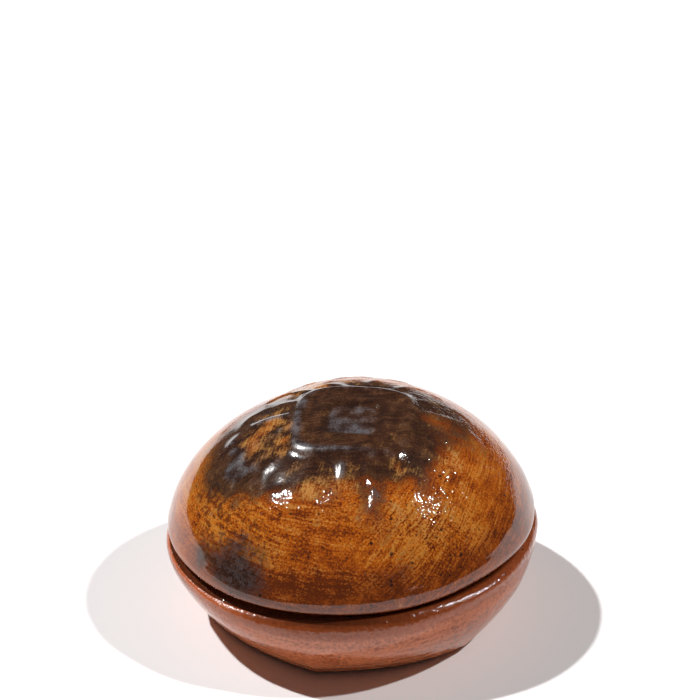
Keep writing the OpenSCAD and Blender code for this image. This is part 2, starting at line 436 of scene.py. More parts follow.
@dataclass(frozen=True)
class LidGlaze:
    """Amber glaze brushed over red clay, pooled dark on the crown."""

    deep: Colour = (0.110, 0.022, 0.005)
    russet: Colour = (0.250, 0.048, 0.005)
    amber: Colour = (0.350, 0.076, 0.006)
    orange: Colour = (0.470, 0.118, 0.007)
    gold: Colour = (0.540, 0.185, 0.020)
    ochre: Colour = (0.500, 0.225, 0.050)
    straw: Colour = (0.500, 0.240, 0.064)
    umber: Colour = (0.070, 0.034, 0.018)
    black: Colour = (0.016, 0.010, 0.008)
    slate: Colour = (0.105, 0.106, 0.120)
    soot: Colour = (0.044, 0.044, 0.053)
    wine: Colour = (0.085, 0.028, 0.018)
    smoke: Colour = (0.050, 0.042, 0.043)
    clay: Colour = (0.330, 0.115, 0.050)
    gloss: float = 0.05
    gloss_swing: float = 0.04
    pool_roughness: float = 0.06
    film_roughness: float = 0.24
    bare_roughness: float = 0.72
    wine_cover: float = 0.8
    # On the lid this covers only the glaze's own dark pool on the crown.
    glaze_pool_and_painted_shade_cover: float = 0.93
    worn_cover: float = 0.9
    film_cover: float = 0.85
    smoke_cover: float = 0.9
    spot_cover: float = 0.85
    bubble_cover: float = 0.7
    sway: float = 1.6
    sway_pitch: float = 6.0
    calmed: float = 0.93
    dimple_d: float = 0.02
    pinhole_d: float = 0.05

    def make(self) -> bpy.types.Material:
        """Makes the material.

        Returns:
            A new material that reads the lid's marks.
        """
        material, g = new_material("lid_glaze")
        place = g.place()
        swayed = self._swayed(g, place)
        cloud = g.noise(place, 7.0, 3.0)
        patchy = g.noise(place, 2.6, 4.0)
        grain = g.noise(place, 0.36, 4.0)
        dark, grime, bare = (g.mark(mark) for mark in (Mark.DARK, Mark.GRIME, Mark.BARE))
        stroke = self._strokes(g, swayed)
        lines = g.brushed(swayed, (0.0, 0.0, 5.0), (7.0, 0.5, 2.0), 3.0)
        steep = g.brushed(swayed, (0.0, 0.0, 72.0), (5.0, 0.4, 2.0), 3.0)
        stroke = stroke + (lines - stroke) * dark.step(0.3, 0.8)
        colour = self._field(g, cloud, patchy, grain, stroke)
        blots = (g.noise(place, 1.1, 3.0) + grain.swing(0.5) + grime * 0.16).step(0.62, 0.76)
        blotted = 0.4 + grime * (0.5 - g.mark(Mark.RIGHT) * 0.65)
        colour = g.mix(blots * blotted.held(), colour, self.deep)
        colour, film = self._crown(g, colour, patchy, grain, stroke, steep)
        smoke = (g.mark(Mark.SMOKE) + patchy.swing(0.9) + grain.swing(1.2)).step(0.2, 0.95)
        fume = (g.noise(place, 1.2, 2.0) + grain.swing(0.9)).step(0.35, 0.65)
        specks = g.specks(place, 0.95, 0.36, 0.7)
        spots = g.specks(place, 1.9, 0.24, 0.5)
        pinholes = g.specks(place, 1.3, 0.14, 0.6)
        bubbles = g.specks(place, 1.7, 0.17, 0.45) * (grime + cloud.swing(1.2)).held()
        layers = (
            (smoke * self.smoke_cover, g.mix(fume, self.black, self.smoke)),
            (specks * (0.3 + grime * 0.6).held(), self.black),
            (g.math("MAXIMUM", spots, pinholes) * self.spot_cover, self.black),
            (bubbles * self.bubble_cover, self.slate),
            (bare, self.clay),
        )
        for cover, shade in layers:
            colour = g.mix(cover, colour, shade)
        roughness = self.gloss + patchy.swing(self.gloss_swing) + bare * (self.bare_roughness - self.gloss)
        roughness = roughness + film * self.film_roughness + dark * self.pool_roughness
        dimples = g.specks(place, 0.9, 0.45, 0.6)
        ripple = g.noise(place, 0.6, 1.0) * 0.1 + g.noise(place, 0.35, 1.0) * 0.02
        ripple = ripple + g.noise(place, 1.9, 1.0) * 0.1
        height = (ripple - dimples * self.dimple_d) * (1.0 - g.mark(Mark.CALM) * self.calmed)
        g.glazed(colour, roughness, height - pinholes * self.pinhole_d)
        return material

    def _swayed(self, g: Graph, place: Value) -> Value:
        """The place, moved to and fro so that strokes wander.

        Args:
            g: The material's nodes.
            place: The place on the piece.

        Returns:
            The moved place.
        """
        drift = g.noise(place, self.sway_pitch, 1.0, out="Color")
        inputs = {0: drift, 1: (self.sway,) * 3, 2: place}
        return g.node("ShaderNodeVectorMath", {"operation": "MULTIPLY_ADD"}, inputs)

    @staticmethod
    def _strokes(g: Graph, place: Value) -> Value:
        """Brush strokes, level on the left and slanting on the right.

        Args:
            g: The material's nodes.
            place: The place on the piece.

        Returns:
            The strokes, from 0 to 1.
        """
        level = g.brushed(place, (0.0, 4.0, 0.0), (9.0, 9.0, 0.42), 3.0)
        slant = g.brushed(place, (0.0, -42.0, 0.0), (7.0, 7.0, 0.36), 3.0)
        return level + (slant - level) * g.mark(Mark.RIGHT)

    def _field(self, g: Graph, cloud: Value, patchy: Value, grain: Value, stroke: Value) -> Value:
        """The brushed amber of the dome.

        Args:
            g: The material's nodes.
            cloud: Broad noise.
            patchy: Middling noise.
            grain: Fine noise.
            stroke: Brush strokes.

        Returns:
            Its colour.
        """
        edge, grime, right = (g.mark(mark) for mark in (Mark.EDGE, Mark.GRIME, Mark.RIGHT))
        uneven = cloud.swing(1.0) + stroke.swing(1.3) + grain.swing(1.6) + patchy.swing(1.2)
        tone = 0.4 + uneven * (1.0 - edge * 0.5) + grime * 0.26 + right * 0.1 + g.mark(Mark.LEFT) * 0.35
        tone = tone + (grain.swing(3.4) + stroke.swing(1.6)) * grime
        tone = tone - edge * (1.0 - edge) * 1.2 - edge * edge * 0.34
        shades = (self.deep, self.russet, self.amber, self.orange, self.gold)
        colour = g.ramp(tone.held(), list(zip((0.0, 0.22, 0.48, 0.75, 1.0), shades)))
        hairs = (stroke + grain.swing(0.7) + cloud.swing(0.8)).step(0.56, 0.74)
        grimy = grime * (0.35 - right * 0.7)
        hairs = hairs * (1.0 - edge) * (0.65 - right * 0.35 - grimy).held()
        mottle = g.mark(Mark.OCHRE) * 0.8 + patchy.swing(0.9) + grain.swing(2.2) + stroke.swing(1.8)
        mottle = mottle.step(0.35, 0.9) * (0.8 - edge * 0.5)
        colour = g.mix(g.math("MAXIMUM", hairs, mottle), colour, self.ochre)
        wine = (g.mark(Mark.WINE) + patchy.swing(1.5) + stroke.swing(0.6)).step(0.15, 1.1)
        return g.mix(wine * self.wine_cover, colour, self.wine)

    def _crown(
        self, g: Graph, colour: Value, patchy: Value, grain: Value, stroke: Value, steep: Value
    ) -> tuple[Value, Value]:
        """The dark pool on the crown, paler on the ridges and worn through in the petals.

        Args:
            g: The material's nodes.
            colour: The field that it lies on.
            patchy: Middling noise.
            grain: Fine noise.
            stroke: Brush strokes.
            steep: Brush strokes that run from front to back.

        Returns:
            The colour with the pool, and how far a dull film covers it.
        """
        dark = (g.mark(Mark.DARK) + patchy.swing(0.9) + stroke.swing(0.5)).step(0.15, 0.85)
        thick = patchy + stroke.swing(0.35) + grain.swing(0.5) - g.mark(Mark.GROOVE) * 0.12
        # On the lid this mix is only the glaze's own dark pool on the crown.
        glaze_pool_and_painted_shade = g.mix(thick.step(0.3, 0.75), self.black, self.umber)
        colour = g.mix(dark * self.glaze_pool_and_painted_shade_cover, colour, glaze_pool_and_painted_shade)
        worn = g.mark(Mark.HOLLOW) + patchy.swing(1.9) + steep.swing(1.0) + grain.swing(0.8)
        bared = (grain + steep.swing(1.3) + patchy.swing(0.8)).step(0.3, 0.72)
        bared = g.mix(bared, self.amber, self.straw)
        colour = g.mix(worn.step(0.25, 1.1) * self.worn_cover, colour, bared)
        ridge = (g.mark(Mark.RIDGE) * 0.8 + grain.swing(0.6) + patchy.swing(1.6)).step(0.3, 1.15)
        ash = g.mix((patchy + grain.swing(0.6)).step(0.35, 0.65), self.soot, self.slate)
        film = ridge * dark
        return g.mix(film * self.film_cover, colour, ash), film


@dataclass(frozen=True)
class BodyGlaze:
    """Red-brown glaze over red clay, with bare clay where the box was stood and stacked, and painted shade on
    the ledge and the rim under the lid.
    """

    dark: Colour = (0.240, 0.056, 0.020)
    red: Colour = (0.500, 0.145, 0.058)
    # Darker red of the rim, the ledge and the inner ring: partly the glaze's own colour, partly painted shade
    # under the lid.
    rim: Colour = (0.250, 0.048, 0.009)
    # Near-black painted shade for the ledge and the rim in the gap under the lid.
    glaze_pool_and_painted_shade: Colour = (0.060, 0.013, 0.004)
    # Paler orange near the foot: thin glaze, and painted light on the underside, which faces the shaded
    # floor.
    thin: Colour = (0.620, 0.200, 0.075)
    worn: Colour = (0.560, 0.120, 0.026)
    pit: Colour = (0.03, 0.012, 0.008)
    clay: Colour = (0.36, 0.13, 0.06)
    gloss: float = 0.11
    gloss_swing: float = 0.08
    broken_roughness: float = 0.22
    bare_roughness: float = 0.75
    thin_glaze_and_foot_light_cover: float = 0.7
    rim_cover: float = 0.8
    worn_cover: float = 0.8
    glaze_pool_and_painted_shade_cover: float = 0.9
    inside_cover: float = 0.35
    pit_cover: float = 0.9
    speck_cover: float = 0.5
    calmed: float = 0.9
    pit_d: float = 0.08
    lean_d: float = 2.0

    def make(self) -> bpy.types.Material:
        """Makes the material.

        Returns:
            A new material that reads the body's marks.
        """
        material, g = new_material("body_glaze")
        place = g.place()
        cloud = g.noise(place, 6.0, 3.0)
        grain = g.noise(place, 0.7, 4.0)
        wiped = g.brushed(place, (0.0, 0.0, 0.0), (14.0, 14.0, 0.9), 2.0)
        tone = 0.58 + cloud.swing(1.3) + wiped.swing(1.2) + grain.swing(2.4)
        colour = g.ramp(tone.held(), [(0.1, self.dark), (0.8, self.red)])
        # The edge mark darkens the rim and the ledge, partly as painted shade under the lid.
        edge = (g.mark(Mark.EDGE) + cloud.swing(0.5)).held()
        broken = (g.mark(Mark.HOLLOW) + grain.swing(0.8)).held()
        # The dark mark on the body is painted shade under the lid, on the ledge and the rim.
        painted_gap_shade = (g.mark(Mark.DARK) + cloud.swing(0.6)).held()
        pits = g.specks(place, 2.0, 0.15, 0.6)
        specks = g.specks(place, 0.8, 0.34, 0.5)
        bare = g.mark(Mark.BARE)
        layers = (
            # Paler near the foot: thin glaze and painted light.
            (g.mark(Mark.OCHRE) * self.thin_glaze_and_foot_light_cover, self.thin),
            (edge * self.rim_cover, self.rim),
            (broken * self.worn_cover, self.worn),
            (painted_gap_shade * self.glaze_pool_and_painted_shade_cover, self.glaze_pool_and_painted_shade),
            (g.mark(Mark.INSIDE) * self.inside_cover, self.dark),
            (pits * self.pit_cover, self.pit),
            (specks * self.speck_cover, self.dark),
            (bare, self.clay),
        )
        for cover, shade in layers:
            colour = g.mix(cover, colour, shade)
        roughness = self.gloss + grain.swing(self.gloss_swing) + bare * (self.bare_roughness - self.gloss)
        roughness = roughness + broken * self.broken_roughness
        dimples = g.specks(place, 1.0, 0.45, 0.5) * (edge * 0.04 + 0.008)
        ripple = g.noise(place, 0.32, 1.0) * (edge * 0.04 + 0.028) + g.noise(place, 1.2, 1.0) * edge * 0.22
        swell = g.noise(place, 2.8, 2.0) * 0.14 + wiped * 0.08
        height = (ripple + swell) * (1.0 - g.mark(Mark.CALM) * self.calmed) - pits * self.pit_d - dimples
        g.glazed(colour, roughness, height - g.mark(Mark.LEAN) * self.lean_d)
        return material


@dataclass(frozen=True)
class Seam:
    """The leaning plane where the lid meets the body."""

    height: float = 19.2
    roll: float = 2.6
    pitch: float = 2.4

    def place(self, points: Array) -> Array:
        """Moves points from the seam's own axes to the part's.

        Args:
            points: Points on the seam's axes.

        Returns:
            The same points on the part's axes.
        """
        roll, pitch = math.radians(self.roll), math.radians(self.pitch)
        turn = Matrix.Rotation(-roll, 3, "Y") @ Matrix.Rotation(pitch, 3, "X")
        return np.asarray(points) @ np.array(turn).T + np.array([0.0, 0.0, self.height])


def circle(steps: int) -> Array:
    """Directions of a ring's points, in degrees."""
    return np.arange(steps) * 360.0 / steps


def ring_points(turns: Array, reach: Union[Array, float], height: Union[Array, float]) -> Array:
    """Points of a ring at a reach from the axis.

    Args:
        turns: Directions in degrees.
        reach: Distance from the axis.
        height: Height of the points.

    Returns:
        The points, one row each.
    """
    a = np.radians(turns)
    reach = np.broadcast_to(reach, a.shape)
    return np.stack([reach * np.cos(a), reach * np.sin(a), np.broadcast_to(height, a.shape)], axis=-1)


@dataclass(frozen=True)
class Relief:
    """Height over the dome at each place, and how much of a ridge, a groove or a hollow it is."""

    height: Array
    ridge: Array
    groove: Array
    hollow: Array


@dataclass(frozen=True)
class Patch:
    """A soft patch or swelling of the dome: direction, distance from the axis, size and strength."""

    turn: float
    reach: float
    size: float
    strength: float


def patches(*rows: tuple[float, float, float, float]) -> tuple[Patch, ...]:
    """Patches from rows of their direction, distance, size and strength."""
    return tuple(Patch(*row) for row in rows)


@dataclass
class Body:
    """The bowl with its foot, rounded rim and inner ring."""

    seam: Seam
    reach: float = 38.4
    oval: float = 0.7
    base_r: float = 31.4
    base_round: float = 1.8
    wall_power: float = 1.8
    wall_flat: float = 0.45
    flat: Side = Side(205.0, 32.0)
    rim_drop: float = 1.3
    rim_round: float = 2.2
    rim_crisp: float = 0.65
    rim_wave: float = 0.5
    rim_wave_turn: float = 312.0
    rim_waves: int = 4
    sag: Side = Side(280.0, 50.0, 1.2)
    dip: Side = Side(232.0, 28.0, 1.0)
    # Where the front of the rim is painted dark, as painted shade under the lid's edge.
    glaze_pool_and_painted_shade: Side = Side(258.0, 30.0)
    thin: Side = Side(208.0, 34.0, 1.3)
    smooth: Side = Side(257.0, 22.0)
    lean_turn: float = 244.0
    lean_fall: Span = (-20.0, 16.0)
    lean_return: Span = (86.0, 176.0)
    floor_t: float = 5.2
    foot_ring_w: float = 5.0
    foot_hollow_d: float = 0.9
    cut_count: int = 6
    cut_d: float = 1.8
    cut_turn: float = 227.0
    ledge_w: float = 4.9
    ring_h: float = 3.2
    ring_w: float = 2.6
    ring_bevel: float = 0.5
    ring_soft: float = 0.4
    ring_fillet: float = 0.5
    bowl_power: float = 2.6
    lump_h: float = 0.16
    dent_h: float = 0.06
    draw_in: float = 0.15
    steps: int = 384
    lumps: Lumps = field(default_factory=lambda: Lumps(11, 9.0))
    dents: Lumps = field(default_factory=lambda: Lumps(12, 3.5))

    @property
    def ring_r(self) -> float:
        """Outer radius of the inner ring."""
        return self.reach - self.ledge_w

    @property
    def bowl_r(self) -> float:
        """Radius of the bowl's mouth."""
        return self.ring_r - self.ring_w

    @property
    def wall_run(self) -> float:
        """How far the wall goes out for each millimetre of its height."""
        return (self.reach - self.base_r) / (self.seam.height - self.rim_drop - self.base_round)

    @property
    def foot_r(self) -> float:
        """Inner radius of the foot's flat ring."""
        drawn = self.base_round * (1.0 + self.wall_power * self.wall_run)
        return self.base_r - drawn - self.cut_d - self.foot_ring_w

    def widest(self, turns: Array) -> Array:
        """Reach of the widest line in each direction."""
        return self.reach + self.oval * np.sin(np.radians(turns)) ** 2

    def rim_fall(self, turns: Array) -> Array:
        """Fall of the rounded rim in each direction, from the ledge to the widest line."""
        wave = self.rim_wave * np.cos(np.radians(self.rim_waves * (turns - self.rim_wave_turn)))
        return self.rim_drop + self.sag.at(turns) - wave

    def rim_width(self, turns: Array) -> Array:
        """Width of the rounded rim in each direction, least on the wall's flat side."""
        return self.rim_round * (1.0 - self.rim_crisp * self.flat.at(turns))

    def knife_cut(self, turns: Array) -> Array:
        """Depth of the knife cuts in each direction.

        Args:
            turns: Directions in degrees.

        Returns:
            The depths.
        """
        span = 360.0 / self.cut_count
        off = np.radians((turns - self.cut_turn + span / 2 + 720.0) % span - span / 2)
        corner = 1.0 / math.cos(math.radians(span / 2)) - 1.0
        flat = 1.0 - (1.0 / np.cos(off) - 1.0) / corner
        lean = 0.5 + 0.5 * np.cos(np.radians(turns - self.cut_turn))
        return self.cut_d * flat * lean

    def build(self) -> bpy.types.Object:
        """Builds the skin, from the bowl's floor over the rim to the middle of the foot.

        Returns:
            The new object.
        """
        skin = Skin("body_shell")
        turns = circle(self.steps)
        self._inside(skin, turns)
        self._outside(skin, turns)
        self._underside(skin, turns)
        return skin.build()

    def _inside(self, skin: Skin, turns: Array) -> None:
        """Adds the bowl, the inner ring and the ledge.

        Args:
            skin: The skin that the rings are added to.
            turns: Directions in degrees.
        """
        depth = self.seam.height - self.floor_t
        for u in np.radians(np.linspace(89.0, 4.0, 34)):
            r = self.bowl_r * math.cos(u) ** (2.0 / self.bowl_power)
            z = -depth * math.sin(u) ** (2.0 / self.bowl_power)
            skin.add(self.seam.place(ring_points(turns, r, z)), {Mark.INSIDE: 1.0})
        soft, bevel, fillet = self.ring_soft, self.ring_bevel, self.ring_fillet
        profile = [(self.bowl_r, z, 1.0, 0.0) for z in np.linspace(0.0, self.ring_h - soft, 6)]
        for u in np.radians([30.0, 60.0, 90.0]):
            r, z = self.bowl_r + soft * (1.0 - math.cos(u)), self.ring_h - soft * (1.0 - math.sin(u))
            profile.append((r, z, 1.0, ease(u, 0.3, 1.4)))
        top = self.ring_r - bevel
        profile += [(r, self.ring_h, 1.0, 1.0) for r in np.linspace(self.bowl_r + 2 * soft, top - 0.2, 4)]
        for u in np.radians([0.0, 30.0, 60.0, 90.0]):
            r, z = top + bevel * math.sin(u), self.ring_h - bevel * (1.0 - math.cos(u))
            profile.append((r, z, 1.0, 1.0 - ease(u, 0.2, 1.4)))
        profile += [(self.ring_r, z, 0.9, 0.0) for z in np.linspace(self.ring_h - 1.0, fillet, 5)]
        for u in np.radians([30.0, 60.0, 90.0]):
            r, z = self.ring_r + fillet * (1.0 - math.cos(u)), fillet * (1.0 - math.sin(u))
            profile.append((r, z, 0.9, 0.0))
        for r, z, inside, bare in profile:
            marks = {Mark.INSIDE: inside, Mark.BARE: bare, Mark.EDGE: 0.6}
            skin.add(self.seam.place(ring_points(turns, r, z)), marks)
        start, end = self.ring_r + fillet, self.widest(turns) - self.rim_width(turns)
        # The ledge is painted dark all round: painted shade in the gap under the lid.
        marks = {Mark.EDGE: 1.0, Mark.DARK: 1.0, Mark.LEAN: self.lean(turns)}
        for share in np.linspace(0.25, 0.9, 4):
            points = ring_points(turns, start + (end - start) * share, -self.dip.at(turns) * share)
            skin.add(self.seam.place(points), marks)

    def broken(self, turns: Array) -> Array:
        """How far the glaze broke thin over the rim's crest in each direction, from 0 to 1."""
        return np.clip(self.thin.at(turns), 0.0, 1.0)

    def lean(self, turns: Array) -> Array:
        """How far the glaze sank in each direction, from 0 to 1, which only the finish's bump shows."""
        past = turn_past(turns, self.lean_turn)
        return ease(past, *self.lean_fall) - ease(past, *self.lean_return)

    def _uneven(self, points: Array, turns: Array, amount: Array) -> Array:
        """Pushes points in and out by the hand's unevenness."""
        push = self.lump_h * self.lumps.at(points) + self.dent_h * self.dents.at(points) - self.draw_in
        return points + ring_points(turns, push * amount, 0.0)

    def _outside(self, skin: Skin, turns: Array) -> None:
        """Adds the rim, the wall and the rounding under it.

        Args:
            skin: The skin that the rings are added to.
            turns: Directions in degrees.
        """
        widest, ledge, fall = self.widest(turns), self.dip.at(turns), self.rim_fall(turns)
        crisp, broken, lean = self.flat.at(turns), self.broken(turns), self.lean(turns)
        for u in np.radians(np.linspace(90.0, 8.0, 12)):
            r = widest - self.rim_width(turns) * (1.0 - math.cos(u))
            points = self.seam.place(ring_points(turns, r, -ledge - fall * (1.0 - math.sin(u))))
            # Painted shade under the lid: dark on the front of the rim and on the top of the rim next to the
            # ledge.
            painted_gap_shade = self.glaze_pool_and_painted_shade.at(turns) * (1.0 - broken) * float(ease(u, 0.1, 0.9))
            marks = {
                Mark.EDGE: 1.0 - crisp * (1.0 - float(ease(u, 0.1, 0.7))),
                Mark.DARK: np.maximum(painted_gap_shade, float(ease(u, 1.2, 1.55))),
                Mark.HOLLOW: broken * float(ease(u, 0.1, 0.6) - ease(u, 1.2, 1.55)),
                Mark.CALM: self.smooth.at(turns) * float(ease(u, 0.3, 0.9)),
                Mark.LEAN: lean,
            }
            skin.add(self._uneven(points, turns, 1.0 - ease(u, 0.2, 1.5)), marks)
        low = ring_points(turns, self.base_r - self.knife_cut(turns), self.base_round)
        high = self.seam.place(ring_points(turns, widest, -ledge - fall))
        power = self.wall_power - self.wall_flat * crisp
        for up in np.linspace(1.0, 0.0, 52):
            out = 1.0 - (1.0 - up) ** power
            points = low + (high - low) * np.stack([out, out, np.full_like(out, up)], axis=-1)
            edge = float(ease(up, 0.86, 0.98)) * (1.0 - crisp)
            # The wall is painted paler towards the foot: thin glaze and painted light.
            marks = {Mark.EDGE: edge, Mark.OCHRE: 1.0 - float(ease(up, 0.0, 0.4)), Mark.LEAN: lean}
            skin.add(self._uneven(points, turns, ease(points[:, 2], 0.5, 5.0)), marks)
        run = power * self.wall_run
        for down in np.linspace(0.0, 1.0, 12)[1:]:
            draw = self.base_round * (2.0 * run * down + (1.0 - run) * down**2)
            r = self.base_r - self.knife_cut(turns) - draw
            # The rounding under the wall is painted paler too: thin glaze and painted light.
            marks = {Mark.BARE: float(ease(down, 0.55, 0.9)), Mark.OCHRE: 1.0, Mark.LEAN: lean}
            skin.add(ring_points(turns, r, self.base_round * (1.0 - down) ** 2), marks)

    def _underside(self, skin: Skin, turns: Array) -> None:
        """Adds the flat ring of the foot and the hollow inside it.

        Args:
            skin: The skin that the rings are added to.
            turns: Directions in degrees.
        """
        deep, inner = self.foot_hollow_d, self.foot_r
        outer = np.hypot(skin.rings[-1][:, 0], skin.rings[-1][:, 1])
        rows = [(outer + (inner - outer) * share, 0.0) for share in (0.3, 0.6, 0.95)]
        rows += [(inner - deep * down, deep * ease(down, 0.0, 1.0)) for down in np.linspace(0.0, 1.0, 6)]
        rows += [((inner - deep) * share, deep) for share in np.linspace(0.9, 0.02, 12)]
        for r, z in rows:
            skin.add(ring_points(turns, r, z), {Mark.BARE: 1.0})

    def dress(self, made: bpy.types.Object) -> None:
        """Gives the body its finish and its place in the frame.

        Args:
            made: The built body.
        """
        made.data.materials.append(BodyGlaze().make())
        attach(made, "body")
        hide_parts("body")


LID_PATCHES: Mapping[Mark, tuple[Patch, ...]] = {
    Mark.DARK: patches(
        (325.0, 25.0, 8.0, -0.7), (351.0, 18.4, 3.5, -0.45), (318.0, 18.0, 5.0, 0.6),
        (300.0, 18.0, 5.0, 0.5), (205.0, 26.0, 6.0, 0.5), (235.0, 24.0, 6.0, 0.3),
        (280.0, 26.0, 4.0, 0.35),
    ),
    Mark.SMOKE: patches(
        (218.0, 36.7, 4.5, 0.75), (230.0, 36.8, 5.0, 0.85), (239.0, 37.1, 4.0, 0.7),
        (232.0, 34.0, 3.5, 0.5), (241.0, 34.2, 2.5, 0.4), (281.0, 35.9, 2.0, 0.45),
        (287.0, 35.5, 2.2, 0.5),
    ),
    Mark.WINE: patches(
        (283.0, 24.3, 3.5, 0.8), (280.0, 28.2, 3.0, 0.6), (282.0, 31.1, 3.0, 0.5),
        (308.0, 23.0, 4.0, 0.8), (304.0, 27.5, 4.0, 0.5), (203.0, 25.0, 4.0, 0.6),
        (240.0, 24.2, 5.0, 0.8), (262.0, 25.0, 4.5, 0.6),
    ),
    Mark.RIDGE: patches(
        (212.0, 24.7, 4.0, 0.9), (230.0, 22.0, 3.0, 0.5), (280.0, 8.6, 2.6, 0.5),
        (243.0, 6.7, 2.4, 0.4),
    ),
    Mark.HOLLOW: patches(
        (184.0, 14.8, 2.2, 0.9), (196.0, 17.5, 2.6, 1.0), (204.0, 20.7, 2.4, 0.9),
        (209.0, 12.7, 1.6, 0.8), (221.0, 15.4, 1.8, 0.9), (228.0, 18.1, 1.8, 0.7),
        (326.0, 25.2, 3.2, 0.9), (299.0, 21.1, 2.0, 0.8), (251.0, 24.2, 2.2, 0.8),
        (268.0, 23.0, 2.0, 0.8), (290.0, 28.5, 2.6, 0.6), (124.0, 17.2, 4.0, 0.8),
        (105.0, 13.5, 3.0, 0.5),
    ),
    Mark.CALM: patches((242.0, 28.5, 5.0, -0.15), (314.0, 30.5, 6.0, -0.35)),
    Mark.GRIME: patches(
        (222.0, 32.5, 9.0, 0.9), (205.0, 30.0, 6.0, 0.7), (240.0, 34.0, 6.0, 0.5),
        (296.0, 32.0, 8.0, 0.8), (268.0, 27.0, 8.0, 0.4), (318.0, 32.0, 6.0, 0.4),
    ),
    Mark.OCHRE: patches(
        (322.0, 26.0, 5.0, 0.5), (213.0, 32.0, 6.0, 0.6), (298.0, 31.5, 7.0, 0.7),
        (255.0, 29.0, 6.0, 0.45),
    ),
}


